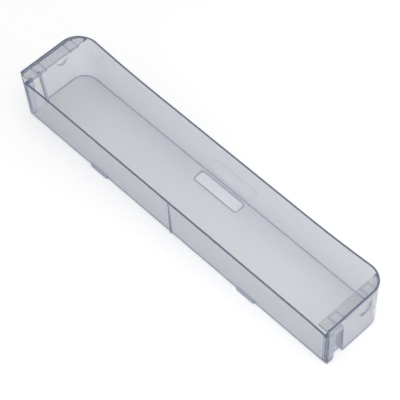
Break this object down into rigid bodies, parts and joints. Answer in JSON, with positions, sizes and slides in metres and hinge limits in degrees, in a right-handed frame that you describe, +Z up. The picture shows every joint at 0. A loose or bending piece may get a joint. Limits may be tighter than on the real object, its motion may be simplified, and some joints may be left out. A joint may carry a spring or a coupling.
{
  "type": "refrigerator door shelf",
  "caption": "Long shallow door shelf moulded in clear plastic, with rounded front corners, a lower back wall, end ledges and lug channels that hang it inside a refrigerator door.",
  "frame": {"origin": "bottom centre of the shelf: the middle of its length and depth, on the face it stands on", "axes": "+X along the shelf, +Y towards the door (the lower wall with the stand-offs), -Y towards the room (the tall wall with the large corners), +Z up"},
  "size_m": [0.45, 0.0872, 0.0714],
  "materials": {
    "clear_plastic": "clear polystyrene with a faint blue tint, polished mould faces"
  },
  "bodies": {
    "root": {"door_shelf": "clear_plastic"}
  },
  "joints": []
}
